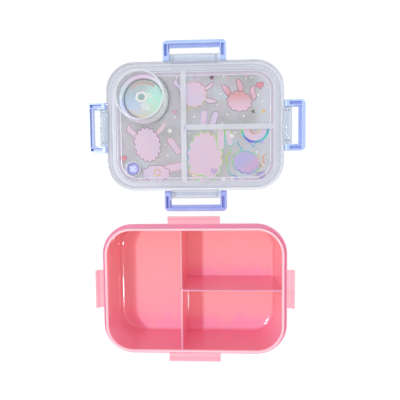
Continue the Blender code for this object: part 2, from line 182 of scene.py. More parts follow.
def block(bm, low, high):
    """A plain box between two corners, to be cut or rounded later."""
    size = Vector(high) - Vector(low)
    centre = (Vector(high) + Vector(low)) / 2
    bmesh.ops.create_cube(bm, size=1.0, matrix=Matrix.Translation(centre) @ Matrix.Diagonal((*size, 1)))


def moved(x, y, turn=0.0):
    """A place on the table, turned about the vertical."""
    return Matrix.Translation((x, y, 0)) @ Matrix.Rotation(turn, 4, "Z")


def to_object(name, bm):
    mesh = bpy.data.meshes.new(name)
    bm.to_mesh(mesh)
    bm.free()
    obj = bpy.data.objects.new(name, mesh)
    bpy.context.scene.collection.objects.link(obj)
    return obj


def new_object(name, bm, *materials):
    """Finishes a mesh: faces outwards, smooth except at sharp edges."""
    bmesh.ops.recalc_face_normals(bm, faces=bm.faces)
    for face in bm.faces:
        face.smooth = True
    for edge in bm.edges:
        edge.smooth = edge.is_manifold and edge.calc_face_angle(0) < SHARP_ANGLE
    obj = to_object(name, bm)
    for material in materials:
        obj.data.materials.append(material)
    return obj


def soften(obj, width=0.0, segments=3):
    """Rounds hard edges and makes flat faces shade flat."""
    if width:
        bevel = obj.modifiers.new("round edges", "BEVEL")
        bevel.width = width
        bevel.segments = segments
        bevel.limit_method = "ANGLE"
        bevel.angle_limit = SHARP_ANGLE
    flat = obj.modifiers.new("flat shading", "WEIGHTED_NORMAL")
    flat.keep_sharp = not width
    return obj


def subtract(obj, name, build):
    """Cuts what build(bm) makes out of obj, and applies the cut."""
    bm = bmesh.new()
    build(bm)
    bmesh.ops.recalc_face_normals(bm, faces=bm.faces)
    cutter = to_object(name, bm)
    cut = obj.modifiers.new(name, "BOOLEAN")
    cut.operation = "DIFFERENCE"
    cut.object = cutter
    cut.use_self = True
    graph = bpy.context.evaluated_depsgraph_get()
    result = bpy.data.meshes.new_from_object(obj.evaluated_get(graph))
    obj.modifiers.clear()
    obj.data = result
    bpy.data.objects.remove(cutter, do_unlink=True)


def in_place(obj, node, replaces=True):
    """Hands a piece to the frame, on a CAD node's body. It may replace the node or add to it."""
    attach(obj, BODIES[node])
    if replaces:
        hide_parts(node)


def add_piece(name, bm, material, node, replaces=True, rounding=0.0, segments=3):
    """Makes a mesh into a piece with one material, softens its edges and hands it to the frame."""
    in_place(soften(new_object(name, bm, material), rounding, segments), node, replaces)


def sides():
    """Each side's latch, the turn about Z from +Y, and the lid's half size that way."""
    yield "latch_front", 0.0, LID_OUTLINE[1]
    yield "latch_left", math.pi / 2, LID_OUTLINE[0]
    yield "latch_back", math.pi, LID_OUTLINE[1]
    yield "latch_right", -math.pi / 2, LID_OUTLINE[0]


# Materials

# A colour mix node's own sockets: its other kinds have sockets of the same names
MIX_FACTOR, MIX_FIRST, MIX_SECOND, MIX_COLOUR = 0, 6, 7, 2
SOFT = {"Subsurface Radius": (1.0, 0.35, 0.4), "Subsurface Scale": 4 * MM}
WAVE_HEIGHT = 0.2 * MM
# Painted light: how strongly upright walls glow, an emission standing in for light that crosses them
PAINTED_WALL_GLOW = 0.08


class Look:
    """A new material, with short ways to add nodes to it."""

    def __init__(self, name):
        self.material = bpy.data.materials.new(name)
        self.material.use_nodes = True
        self.nodes, self.links = self.material.node_tree.nodes, self.material.node_tree.links
        self.shader = self.nodes["Principled BSDF"]
        self.position = self.nodes.new("ShaderNodeTexCoord").outputs["Object"]

    def fill(self, node, inputs):
        """Gives a node's inputs numbers, vectors, colours or other nodes' outputs."""
        for name, value in inputs.items():
            socket = node.inputs[name]
            if isinstance(value, bpy.types.NodeSocket):
                self.links.new(value, socket)
            elif socket.type == "RGBA":
                socket.default_value = (*value, 1)
            else:
                socket.default_value = value

    def add(self, kind, inputs, output, **settings):
        """Adds a node, fills its inputs and returns one of its outputs."""
        node = self.nodes.new("ShaderNode" + kind)
        for setting, value in settings.items():
            setattr(node, setting, value)
        self.fill(node, inputs)
        return node.outputs[output]

    def surface(self, inputs):
        self.fill(self.shader, inputs)

    def calculate(self, operation, first, second=0):
        return self.add("Math", {0: first, 1: second}, "Value", operation=operation)

    def spread(self, value, low, high, start=0.0, end=1.0, curve="LINEAR"):
        """Turns start to end into low to high, and holds the ends beyond that."""
        ends = {"Value": value, "From Min": start, "From Max": end, "To Min": low, "To Max": high}
        return self.add("MapRange", ends, "Result", interpolation_type=curve)

    def parts(self, vector):
        """A vector's outputs X, Y and Z."""
        node = self.nodes.new("ShaderNodeSeparateXYZ")
        self.links.new(vector, node.inputs["Vector"])
        return node.outputs

    def noise(self, scale, detail=2.0, roughness=0.5):
        inputs = {"Vector": self.position, "Scale": scale, "Detail": detail, "Roughness": roughness}
        return self.add("TexNoise", inputs, "Fac")

    def ramp(self, factor, stops):
        """A colour ramp over (place, colour) stops."""
        node = self.nodes.new("ShaderNodeValToRGB")
        elements = node.color_ramp.elements
        while len(elements) < len(stops):
            elements.new(0.5)
        for element, (place, colour) in zip(elements, stops):
            element.position = place
            element.color = (*colour, 1)
        self.links.new(factor, node.inputs["Fac"])
        return node.outputs["Color"]

    def blend(self, factor, first, second, kind="MIX"):
        """Mixes two colours."""
        sockets = {MIX_FACTOR: factor, MIX_FIRST: first, MIX_SECOND: second}
        return self.add("Mix", sockets, MIX_COLOUR, data_type="RGBA", blend_type=kind)

    def clouds(self, scale, shade, colour, roughness):
        """Soft clouds of two close shades, a little duller and glossier with them."""
        drift = self.noise(scale)
        self.surface({"Base Color": self.ramp(drift, ((0.3, shade), (0.7, colour)))})
        self.gloss(drift, roughness)

    def gloss(self, drift, roughness):
        self.surface({"Roughness": self.spread(drift, 0.8 * roughness, 1.2 * roughness)})

    def waves(self, scale, strength):
        """A gentle waviness, seen in the gloss."""
        height = self.noise(scale, 1.0)
        bump = self.add("Bump", {"Strength": strength, "Distance": WAVE_HEIGHT, "Height": height}, "Normal")
        self.surface({"Normal": bump})

    def mix(self, factor, first, second):
        """Mixes two shaders."""
        return self.add("MixShader", {0: factor, 1: first, 2: second}, "Shader")

    def see_through(self, tint):
        return self.add("BsdfTransparent", {"Color": tint}, "BSDF")

    def pass_light(self, shader, tint):
        """Lets light through the plastic, tinted, so that it colours what it shades."""
        shadow = self.add("LightPath", {}, "Is Shadow Ray")
        shown = self.mix(shadow, shader, self.see_through(tint))
        self.fill(self.nodes["Material Output"], {"Surface": shown})


def moulded(name, colour, shade, roughness, soft):
    """Opaque moulded plastic or silicone."""
    look = Look(name)
    look.clouds(60, shade, colour, roughness)
    look.surface({"Subsurface Weight": soft, **SOFT})
    look.waves(25, 0.05)
    return look.material


def front_to_back(look, normal):
    """0 at the front of the tray and 1 at its back, with soft streaky painted reflections inside it.

    The floors and the back walls of the right side start again at the divider.
    """
    whole_depth, half_depth, streak_shape, streak_strength = 160 * MM, 58 * MM, (45, 3, 3), 0.5
    place = look.parts(look.position)
    whole = look.calculate("ADD", look.calculate("MULTIPLY", place["Y"], 1 / whole_depth), 0.5)
    front = look.calculate("LESS_THAN", place["Y"], 0)
    half = look.calculate("ADD", look.calculate("MULTIPLY", place["Y"], 1 / half_depth), front)
    right = look.calculate("GREATER_THAN", place["X"], DIVIDER_X)
    inside = look.spread(look.calculate("MAXIMUM", normal["Z"], normal["Y"]), 0.0, 1.0, 0.3, 0.7)
    restart = look.calculate("MULTIPLY", right, inside)
    along = look.add("Mix", {"Factor": restart, "A": whole, "B": half}, "Result")
    # Painted reflections: noise stretched along the tray sways the colour on floors and walls
    stretched = look.add("Mapping", {"Vector": look.position, "Scale": streak_shape}, "Vector")
    reflection_streaks = look.add("TexNoise", {"Vector": stretched, "Scale": 1.0, "Detail": 1.0}, "Fac")
    sway = look.calculate("MULTIPLY", look.calculate("SUBTRACT", reflection_streaks, 0.5), streak_strength)
    return look.calculate("ADD", along, look.calculate("MULTIPLY", sway, inside))


def tinted(name, stops, tint, glow, roughness=0.4, coat=0.0, deep=(1, 1, 1), painted_glow=0.0):
    """Glossy see-through plastic, deep enough in colour to look solid, with its stops from front to back.

    Faces towards the back are darkened: painted shade. An emission paints the light that crosses the
    plastic: a glow all over when asked for, and a little on upright walls in any case.
    """
    look = Look(name)
    normal = look.parts(look.add("NewGeometry", {}, "Normal"))
    colour = look.ramp(front_to_back(look, normal), stops)
    # Painted shade: faces turned towards the back are multiplied by the deep colour
    painted_back_shade = look.spread(normal["Y"], 0.0, 1.0, start=0.4)
    level = look.calculate("ABSOLUTE", normal["Z"])
    look.gloss(look.noise(60), roughness)
    look.surface({"Base Color": look.blend(painted_back_shade, colour, deep, "MULTIPLY")})
    look.surface({"Subsurface Weight": 0.25, **SOFT})
    # Painted light: an emission glows a little on upright walls, and all over where asked
    strength = look.spread(level, max(PAINTED_WALL_GLOW, painted_glow), painted_glow)
    look.surface({"Emission Color": glow, "Emission Strength": strength})
    look.surface({"Specular IOR Level": 0.5 if coat else 0.15, "Coat Weight": coat, "Coat Roughness": 0.02})
    look.waves(25, 0.05)
    crossing = look.add("BsdfTranslucent", {"Color": glow}, "BSDF")
    look.pass_light(look.mix(0.15, look.shader.outputs["BSDF"], crossing), tint)
    return look.material


def clear(name, tint, veil, frost, edge, shadow, roughness=0.08):
    """Clear plastic: it tints what lies behind it, and looks milky where it is seen at a slant."""
    look = Look(name)
    look.clouds(40, tuple(0.94 * part for part in veil), veil, roughness)
    look.waves(40, 0.04)
    slant = look.calculate("POWER", look.add("LayerWeight", {"Blend": 0.5}, "Facing"), 1.8)
    milky = look.mix(look.spread(slant, frost, edge), look.see_through(tint), look.shader.outputs["BSDF"])
    look.pass_light(milky, shadow)
    return look.material


def printed(look, colour, roughness=0.5):
    look.surface({"Base Color": colour, "Roughness": roughness, "Specular IOR Level": 0.2})
    return look.material


def pearl_film(name, stops, painted_reflection=None):
    """Printed film with faint pastel clouds, and a pale painted reflection along its right side if one is
    given.
    """
    look = Look(name)
    colour = look.ramp(look.noise(26, 3.0, 0.55), stops)
    if painted_reflection:
        # Painted reflection: a pale band blended in towards the right side
        side = look.spread(look.parts(look.position)["X"], 0.0, 0.6, 66 * MM, 82 * MM, "SMOOTHSTEP")
        colour = look.blend(side, colour, painted_reflection)
    return printed(look, colour, 0.55)


def ink(name, *colours, scale=30):
    """Printed ink that drifts between its colours across the print."""
    look = Look(name)
    step = 0.4 / (len(colours) - 1)
    stops = [(0.3 + step * index, colour) for index, colour in enumerate(colours)]
    return printed(look, look.ramp(look.noise(scale, 0.0), stops))


def fade(name, start, end, *stops):
    """Printed ink that changes colour from start to end along Y."""
    look = Look(name)
    along = look.spread(look.parts(look.position)["Y"], 0.0, 1.0, start, end)
    return printed(look, look.ramp(along, stops))


def painted_iridescence(name, centre, *stops):
    """A holographic finish whose colour turns round a centre, from its left and counterclockwise: the turning
    colours are a painted iridescent reflection.
    """
    look = Look(name)
    shifted = look.add("Mapping", {"Vector": look.position, "Location": (-centre.x, -centre.y, 0)}, "Vector")
    sweep = look.add("TexGradient", {"Vector": shifted}, "Fac", gradient_type="RADIAL")
    look.surface({"Base Color": look.ramp(sweep, stops), "Roughness": 0.4})
    return look.material


# Palette

RED_LIGHT, ROSE_LIGHT = (1.0, 0.16, 0.22), (1.0, 0.4, 0.5)
# Tray pink: the magenta stops near the front walls are a painted reflection of those walls
PINK = tinted(
    "pink_plastic",
    (
        (0.0, (0.93, 0.43, 0.66)),
        (0.14, (0.93, 0.45, 0.65)),
        (0.22, (0.93, 0.48, 0.60)),
        (0.45, (0.94, 0.50, 0.56)),
        (1.0, (0.94, 0.48, 0.50)),
    ),
    tint=(0.70, 0.15, 0.16),
    glow=RED_LIGHT,
    roughness=0.12,
    coat=0.6,
    # Painted shade for faces turned towards the back
    deep=(1.0, 0.84, 0.80),
)
# Painted light: the flange in its own toned copy of the pink plastic, for how light falls there
PINK_FLANGE_PAINTED_LIGHT = tinted(
    "pink_plastic_flange_painted_light",
    ((0.0, (0.84, 0.38, 0.55)), (1.0, (0.82, 0.39, 0.56))),
    tint=(0.80, 0.30, 0.36),
    glow=RED_LIGHT,
)
# Painted highlight: the rim in a lighter copy of the pink plastic that also glows all over
PINK_RIM_PAINTED_HIGHLIGHT = tinted(
    "pink_plastic_rim_painted_highlight",
    ((0.0, (1.0, 0.66, 0.74)), (1.0, (1.0, 0.68, 0.75))),
    tint=(0.85, 0.40, 0.46),
    glow=ROSE_LIGHT,
    painted_glow=0.2,
)
# Painted light: the catches in a lighter copy of the pink plastic
PINK_CATCH_PAINTED_LIGHT = tinted(
    "pink_plastic_catch_painted_light",
    ((0.0, (1.0, 0.64, 0.72)), (0.7, (1.0, 0.61, 0.69)), (1.0, (1.0, 0.58, 0.66))),
    tint=(0.85, 0.40, 0.46),
    glow=ROSE_LIGHT,
)

# Name, colour, shade, roughness and softness
LAVENDER = moulded("lavender_plastic", (0.49, 0.64, 0.98), (0.46, 0.60, 0.96), 0.28, 0.15)
# Painted shade: a darker copy of the lavender for the back latch, which lies in the tray's shade
LAVENDER_PAINTED_SHADE = moulded("lavender_plastic_painted_shade", (0.38, 0.49, 0.93), (0.35, 0.45, 0.91), 0.28, 0.15)
# Painted shade: darker lavender for the floors of the step and the slots
LAVENDER_RECESS_SHADE = moulded("lavender_plastic_painted_recess_shade", (0.35, 0.43, 0.82), (0.33, 0.40, 0.80), 0.35, 0.15)
VIOLET = moulded("violet_silicone", (0.42, 0.42, 0.78), (0.38, 0.38, 0.74), 0.4, 0.2)
VENT_RELIEF = moulded("vent_relief", (0.56, 0.64, 0.90), (0.52, 0.60, 0.88), 0.35, 0.2)

# Name, tint, veil, how milky it is seen straight and at a slant, and its shadow
CLEAR = clear("clear_plastic", (0.92, 0.93, 0.96), (0.86, 0.89, 0.95), 0.18, 0.65, (0.96, 0.97, 0.99))
PANEL = clear("clear_panel", (0.97, 0.975, 0.98), (0.66, 0.70, 0.78), 0.03, 0.4, (0.98, 0.98, 0.99))
CLEAR_RIB = clear("clear_rib", (0.95, 0.96, 0.98), (0.86, 0.88, 0.93), 0.7, 0.95, (0.95, 0.96, 0.97), 0.2)
# Painted shade: a darker, milkier copy of the clear plastic for the cover's outer wall
CLEAR_EDGE_SHADE = clear("clear_edge_painted_shade", (0.85, 0.86, 0.89), (0.67, 0.68, 0.73), 0.32, 0.85, (0.94, 0.95, 0.97), 0.15)
CLEAR_TAB = clear("clear_hinge", (0.845, 0.875, 0.915), (0.665, 0.725, 0.825), 0.26, 0.8, (0.94, 0.95, 0.97))
# Painted shade: dark clear plastic for the studs at the hinge blocks' ends
STUD_SHADE = clear("clear_stud_painted_shade", (0.60, 0.62, 0.68), (0.50, 0.52, 0.60), 0.6, 0.9, (0.94, 0.95, 0.97))
FROST = clear("silicone", (0.93, 0.94, 0.96), (0.76, 0.78, 0.84), 0.6, 0.85, (0.92, 0.93, 0.95), 0.35)
POT_CLEAR = clear("pot_plastic", (0.985, 0.99, 0.99), (0.92, 0.95, 0.98), 0.04, 0.6, (0.99, 0.99, 0.99))
POT_LINE = clear("pot_plastic_edge", (0.95, 0.96, 0.97), (0.88, 0.91, 0.95), 0.6, 0.9, (0.99, 0.99, 0.99))

# Painted reflection: the colours seen turning round inside the pot
HOLOGRAM_PAINTED_REFLECTION = painted_iridescence(
    "ink_hologram_painted_reflection",
    POT_CENTRE,
    (0.0, (0.36, 0.52, 0.69)),
    (0.12, (0.48, 0.57, 0.75)),
    (0.25, (0.63, 0.61, 0.57)),
    (0.36, (0.51, 0.75, 0.57)),
    (0.50, (0.41, 0.84, 0.66)),
    (0.62, (0.47, 0.79, 0.73)),
    (0.75, (0.44, 0.51, 0.51)),
    (0.90, (0.38, 0.47, 0.53)),
    (1.0, (0.36, 0.52, 0.69)),
)
# Painted reflection: the gasket's colours turning round the pot
GASKET_PAINTED_REFLECTION = painted_iridescence(
    "pot_gasket",
    POT_CENTRE,
    (0.0, (0.46, 0.60, 0.84)),
    (0.12, (0.62, 0.58, 0.80)),
    (0.25, (0.70, 0.62, 0.72)),
    (0.40, (0.62, 0.72, 0.68)),
    (0.55, (0.66, 0.80, 0.74)),
    (0.66, (0.70, 0.64, 0.74)),
    (0.75, (0.76, 0.54, 0.76)),
    (0.84, (0.72, 0.58, 0.74)),
    (0.92, (0.58, 0.66, 0.76)),
)
FILM = pearl_film(
    "holographic_film",
    (
        (0.28, (0.42, 0.43, 0.44)),
        (0.42, (0.48, 0.48, 0.50)),
        (0.52, (0.54, 0.52, 0.55)),
        (0.68, (0.56, 0.61, 0.67)),
    ),
    # Painted reflection: the pale band along the film's right side
    painted_reflection=(0.66, 0.69, 0.77),
)
BORDER = pearl_film(
    "film_border", ((0.3, (0.68, 0.71, 0.78)), (0.5, (0.72, 0.72, 0.80)), (0.7, (0.70, 0.74, 0.80)))
)
MAUVE_BAND = pearl_film("film_band", ((0.3, (0.60, 0.54, 0.62)), (0.7, (0.66, 0.56, 0.66))))

PALE_PINK = ink("ink_pale_pink", (0.70, 0.57, 0.72), (0.76, 0.58, 0.70), (0.68, 0.60, 0.76))
CORAL = ink("ink_coral", (0.72, 0.38, 0.40), (0.78, 0.50, 0.60), (0.74, 0.54, 0.68))
LILAC = ink("ink_lilac", (0.44, 0.42, 0.70), (0.62, 0.44, 0.64), (0.48, 0.46, 0.74))
RED = ink("ink_red", (0.72, 0.26, 0.28), (0.76, 0.34, 0.40))
SKY = ink("ink_sky", (0.36, 0.46, 0.82), (0.42, 0.42, 0.80))
MAUVE = ink("ink_mauve", (0.15, 0.07, 0.13), (0.30, 0.12, 0.22))
WARM = ink("ink_warm", (0.42, 0.12, 0.14), (0.72, 0.24, 0.18), (0.80, 0.62, 0.22))
RAINBOW = ink(
    "ink_rainbow",
    (0.75, 0.16, 0.16),
    (0.78, 0.62, 0.10),
    (0.20, 0.72, 0.16),
    (0.06, 0.60, 0.55),
    (0.14, 0.16, 0.68),
    scale=26,
)
CREAM = ink("ink_cream", (0.86, 0.84, 0.74), (0.90, 0.89, 0.84))
OLIVE = ink("ink_olive", (0.16, 0.18, 0.12), (0.24, 0.24, 0.18))
# Painted glint: the gold bow on the hologram, an iridescent reflection
GOLD_GLINT = ink("ink_gold_painted_glint", (0.80, 0.66, 0.36), (0.82, 0.56, 0.40))
PEACH = ink("ink_peach", (0.62, 0.42, 0.36), (0.66, 0.46, 0.44))
TEAL = ink("ink_teal", (0.26, 0.40, 0.42), (0.32, 0.46, 0.48))
PALE = ink("ink_pale", (0.70, 0.80, 0.78), (0.80, 0.82, 0.80))
CORAL_FADE = fade(
    "ink_coral_fade",
    LID_Y + 17 * MM,
    LID_Y + 42 * MM,
    (0.0, (0.80, 0.58, 0.72)),
    (0.45, (0.76, 0.52, 0.60)),
    (0.75, (0.72, 0.38, 0.40)),
)


# Tray


def tray_section():
    """From the middle of the underside, up the outside, over the rim and down to the floor."""
    foot, edge = 3 * MM, 0.45 * MM
    yield (OUTER_DRAFT + 2 * foot, 0)
    yield from arc((OUTER_DRAFT + foot, foot), foot, 270, 180, 6)
    under = OUTER_DRAFT * (1 - FLANGE_LOW / RIM_TOP)
    yield (under, FLANGE_LOW - 0.8 * MM)
    yield (under - 0.8 * MM, FLANGE_LOW)
    yield (edge - FLANGE_OUT, FLANGE_LOW)
    yield from arc((edge - FLANGE_OUT, FLANGE_LOW + edge), edge, 270, 180, 3)
    yield from arc((edge - FLANGE_OUT, FLANGE_TOP - edge), edge, 180, 90, 3)
    groove = FLANGE_TOP - 0.5 * MM
    yield from ((-2.9 * MM, FLANGE_TOP), (-2.6 * MM, groove), (-2.0 * MM, groove), (-1.7 * MM, FLANGE_TOP))
    yield from ((-0.5 * MM, FLANGE_TOP), (-0.1 * MM, FLANGE_TOP + 0.2 * MM), (0, FLANGE_TOP + 0.7 * MM))
    top = 0.8 * MM
    yield from arc((top, RIM_TOP - top), top, 180, 90, 4)
    bead = TRAY_WALL + 0.6 * MM
    yield from arc((bead - top, RIM_TOP - top), top, 90, 0, 4)
    yield from ((bead, RIM_TOP - 2.2 * MM), (TRAY_WALL + 0.1 * MM, RIM_TOP - 2.8 * MM))
    fillet = 4.4 * MM
    height = RIM_TOP - FLOOR_TOP
    wall = TRAY_WALL + INNER_DRAFT * (height - fillet) / height
    yield from arc((wall + fillet, FLOOR_TOP + fillet), fillet, 180, 270, 8)
    yield (wall + 2 * fillet, FLOOR_TOP)


def make_tray_shell():
    """The tray itself, with the flange and the rim in their own toned copies of the pink plastic: painted
    light.
    """
    section = list(tray_section())
    shell = new_object("tray_shell", rim_loft(RIM_OUTLINE, section), PINK, PINK_FLANGE_PAINTED_LIGHT, PINK_RIM_PAINTED_HIGHLIGHT)
    per_row = len(outline(*RIM_OUTLINE))
    for face in shell.data.polygons:
        row = min(face.index // per_row, len(section) - 2)
        inset = (section[row][0] + section[row + 1][0]) / 2
        height = (section[row][1] + section[row + 1][1]) / 2
        # Painted light: rim faces take the lighter rim copy, flange faces their own toned copy
        if height > RIM_TOP - 2.6 * MM:
            face.material_index = 2
        elif height > FLANGE_LOW - 1 * MM and inset < TRAY_WALL / 2:
            face.material_index = 1
    in_place(soften(shell), "tray")


def divider_mesh(bm, length, centre, along):
    """A wall with a rounded top and a flared foot. Its ends follow the slope of the tray's sides."""
    fillet, top = 1.8 * MM, DIVIDER_HALF_TOP
    right = [(DIVIDER_HALF_FOOT + fillet, FLOOR_TOP - 0.2 * MM), (DIVIDER_HALF_FOOT + fillet, FLOOR_TOP)]
    right += arc((DIVIDER_HALF_FOOT + fillet, FLOOR_TOP + fillet), fillet, 270, 180, 5)
    right += arc((0, DIVIDER_TOP - top), top, 0, 90, 5)
    section = right + [(-x, z) for x, z in reversed(right[:-1])]
    rings = []
    for sign in (-1, 1):
        ring = []
        for across, z in section:
            reach = sign * (length / 2 - (OUTER_DRAFT + INNER_DRAFT) / 2 * (RIM_TOP - z) / RIM_TOP)
            x, y = (reach, across) if along == "x" else (-across, reach)
            ring.append((centre[0] + x, centre[1] + y, z))
        rings.append(ring)
    loft(rings, bm=bm)


def make_dividers():
    """The long divider from front to back and the short one to the right of it."""
    bm = bmesh.new()
    divider_mesh(bm, 2 * RIM_OUTLINE[1] - TRAY_WALL, (DIVIDER_X, 0), "y")
    draft = (OUTER_DRAFT + INNER_DRAFT) / 2
    start, end = DIVIDER_X, RIM_OUTLINE[0] - TRAY_WALL / 2
    divider_mesh(bm, end - start + draft, ((start + end - draft) / 2, DIVIDER_Y), "x")
    add_piece("tray_dividers", bm, PINK, "tray")


def make_catch(side, turn, half, width):
    """A lug on the flange, for the latch to hook under. Its top slopes to guide the lid's skirt down."""
    reach = half - LID_OUTLINE[1] + TRAY_BOX[1].y
    edge, foot, root = 0.5 * MM, 1.2 * MM, half - 9 * MM
    section = [(root, CATCH_LOW)]
    section += arc((reach - foot, CATCH_LOW + foot), foot, -90, 0, 4)
    section += arc((reach - edge, CATCH_TOP - edge), edge, 0, 90, 3)
    section += [(reach - foot, CATCH_TOP - 0.3 * MM), (half + CATCH_STEP, FLANGE_TOP)]
    section += [(half - 3.2 * MM, FLANGE_TOP - 0.2 * MM), (root, FLANGE_LOW + 0.5 * MM)]
    place = moved(0, 0, turn)
    bm = loft([[place @ Vector((x, out, z)) for out, z in section] for x in (-width / 2, width / 2)])
    # Painted light: the catch takes the lighter pink copy
    add_piece(f"tray_catch_{side}", bm, PINK_CATCH_PAINTED_LIGHT, "tray", rounding=0.4 * MM)


def make_tray():
    make_tray_shell()
    make_dividers()
    for latch, turn, half in sides():
        make_catch(latch.removeprefix("latch_"), turn, half, LATCH_SIZES[latch]["window"] - 2 * MM)


# Lid


def cover_section():
    """From the middle of the outer face, up the skirt, over its edge and down to the panel."""
    edge, lip = 1.8 * MM, 0.7 * MM
    yield (PANEL_REACH, 0)
    yield from arc((edge, edge), edge, 270, 180, 6)
    yield from ((0, 8.6 * MM), (0.25 * MM, 8.9 * MM), (0.25 * MM, SKIRT_TOP - 0.8 * MM))
    yield from arc((0.95 * MM, SKIRT_TOP - lip), lip, 180, 90, 4)
    yield from arc((1.3 * MM, SKIRT_TOP - lip), lip, 90, 0, 4)
    yield from ((2.0 * MM, 5 * MM), (2.1 * MM, 1.9 * MM), (2.6 * MM, PANEL_TOP), (PANEL_REACH, PANEL_TOP))


def make_lid_shell():
    """The cover, with its outer wall in a darker, milkier copy of the clear plastic as painted shade, and its
    flat panel clearer than the rest.
    """
    cover = new_object("lid_shell", lid_loft(cover_section()), CLEAR, CLEAR_EDGE_SHADE, PANEL)
    for face in cover.data.polygons:
        outwards = (face.center.xy - LID_CENTRE).dot(face.normal.xy) > 0
        if outwards and abs(face.normal.z) < 0.8 and face.center.z > PANEL_TOP:
            face.material_index = 1
        elif abs(face.normal.z) > 0.9 and face.center.z < PANEL_TOP + 0.1 * MM:
            face.material_index = 2
    in_place(soften(cover), "lid_cover")


def tab_section(half, dip):
    """A hinge block seen from its end: the skirt's side, then ribs along its upper face, lower by dip."""
    start, end = half - 0.6 * MM, half + TAB_OUT - dip
    top = TAB_HIGH - dip
    edge = 1.2 * MM
    points = [(start, TAB_LOW)]
    points += arc((end - edge, TAB_LOW + edge), edge, -90, 0, 4)
    points += arc((end - edge, top - edge), edge, 0, 90, 4)
    ribs = 3
    pitch = (end - edge - start - 1.2 * MM) / ribs
    low = top - 0.45 * MM
    for index in range(ribs):
        right = end - edge - 0.6 * MM - index * pitch
        points += [(right, top), (right - 0.4 * MM, low), (right - 1.1 * MM, low), (right - 1.5 * MM, top)]
    points.append((start, top))
    return points


def make_hinge_block(side, reach, half, place):
    """A block that the latch turns on, with two grooves across it near each end."""
    groove = 0.6 * MM
    ends = [(reach, 0.0)]
    for near in (2.2 * MM, 4.6 * MM):
        ends += [(reach - near, 0.0), (reach - near - 0.2 * MM, groove)]
        ends += [(reach - near - 0.8 * MM, groove), (reach - near - 1.0 * MM, 0.0)]
    stations = [(-across, dip) for across, dip in ends] + ends[::-1]
    bm = loft([[place @ Vector((x, out, z)) for out, z in tab_section(half, dip)] for x, dip in stations])
    add_piece(f"lid_hinge_{side}", bm, CLEAR_TAB, "lid_cover", rounding=0.15 * MM, segments=2)


def make_studs(side, reach, half, place):
    """Two small dark studs in each end of a hinge block: their darkness is painted shade of the trunnion
    sockets.
    """
    radius = 0.9 * MM
    dome = [(radius, TAB_HIGH - 1.5 * MM), (radius, TAB_HIGH), (0.6 * MM, TAB_HIGH + 0.1 * MM)]
    bm = bmesh.new()
    for across in (3.5 * MM - reach, reach - 3.5 * MM):
        for out in (half + 2.6 * MM, half + 6.6 * MM):
            turn_loft(dome, (place @ Vector((across, out, 0))).xy, steps=24, bm=bm)
    add_piece(f"lid_studs_{side}", bm, STUD_SHADE, "lid_cover")


def make_trunnions(side, reach, hinge, turn):
    """A pin through a hinge block, whose ends are the latch's trunnions."""
    radius = 1.7 * MM
    bm = turn_loft([(radius, -reach), (radius, reach)], (0, 0), steps=32)
    lying = Matrix.Translation(hinge) @ Matrix.Rotation(turn, 4, "Z") @ Matrix.Rotation(math.pi / 2, 4, "Y")
    bmesh.ops.transform(bm, matrix=lying, verts=bm.verts)
    add_piece(f"lid_trunnions_{side}", bm, CLEAR, "lid_cover", rounding=0.3 * MM, segments=2)


def make_lid_cover():
    make_lid_shell()
    for latch, turn, half in sides():
        side = latch.removeprefix("latch_")
        window = LATCH_SIZES[latch]["window"]
        place = moved(LID_X, LID_Y, turn)
        make_hinge_block(side, window / 2 - TAB_GAP, half, place)
        make_studs(side, window / 2 - TAB_GAP, half, place)
        make_trunnions(side, window / 2 + 4 * MM, HINGES[latch], turn)


def rib(bm, inset, width, high):
    """A low rounded rib round the lid's inner panel."""
    edge = width * 0.3
    section = [(inset, RIB_ROOT), *arc((inset + edge, high - edge), edge, 180, 90, 3)]
    section += [*arc((inset + width - edge, high - edge), edge, 90, 0, 3), (inset + width, RIB_ROOT)]
    lid_loft(section, closed=True, bm=bm)


def ring(centre, inner, outer, low, high, bm=None):
    edge = (outer - inner) * 0.35
    section = [(outer, low), *arc((outer - edge, high - edge), edge, 0, 90, 3)]
    section += [*arc((inner + edge, high - edge), edge, 90, 180, 3), (inner, low)]
    return turn_loft(section, centre, closed=True, bm=bm)


def make_liner():
    """The inner panel without its hidden underside, its ribs, and the pot's collar."""
    near, edge = FILM_INSET, 0.3 * MM
    section = [(PANEL_REACH, LINER_LOW), (near + edge, LINER_LOW), (near, LINER_LOW + edge)]
    section += [(near, LINER_TOP - edge), (near + edge, LINER_TOP), (PANEL_REACH, LINER_TOP)]
    bm = lid_loft(section)
    bmesh.ops.recalc_face_normals(bm, faces=bm.faces)
    hidden = [face for face in bm.faces if face.normal.z < -0.9]
    bmesh.ops.delete(bm, geom=hidden, context="FACES")
    add_piece("liner_panel", bm, PANEL, "lid_liner")
    bm = bmesh.new()
    rib(bm, 9.9 * MM, 1.0 * MM, 5.0 * MM)
    rib(bm, 14.2 * MM, 1.0 * MM, 4.4 * MM)
    ring(VENT_CENTRE, 7.9 * MM, 9.2 * MM, RIB_ROOT, 7.2 * MM, bm)
    add_piece("liner_ribs", bm, CLEAR_RIB, "lid_liner")
    bm = ring(POT_CENTRE, 29.65 * MM, 31.0 * MM, RIB_ROOT, LINER_BOX[1].z)
    ring(POT_CENTRE, 22.2 * MM, 23.4 * MM, RIB_ROOT, 7.0 * MM, bm)
    add_piece("liner_pot_collar", bm, POT_CLEAR, "lid_liner")


def bar_points(length):
    """A bar's outline along X, with ends that flare into the band."""
    flare = 2.5 * MM
    corner = list(arc((length / 2 - flare, BAR_HALF + flare), flare, -90, 0, 5))
    right = corner + [(x, -y) for x, y in reversed(corner)]
    return right + [(-x, -y) for x, y in right]


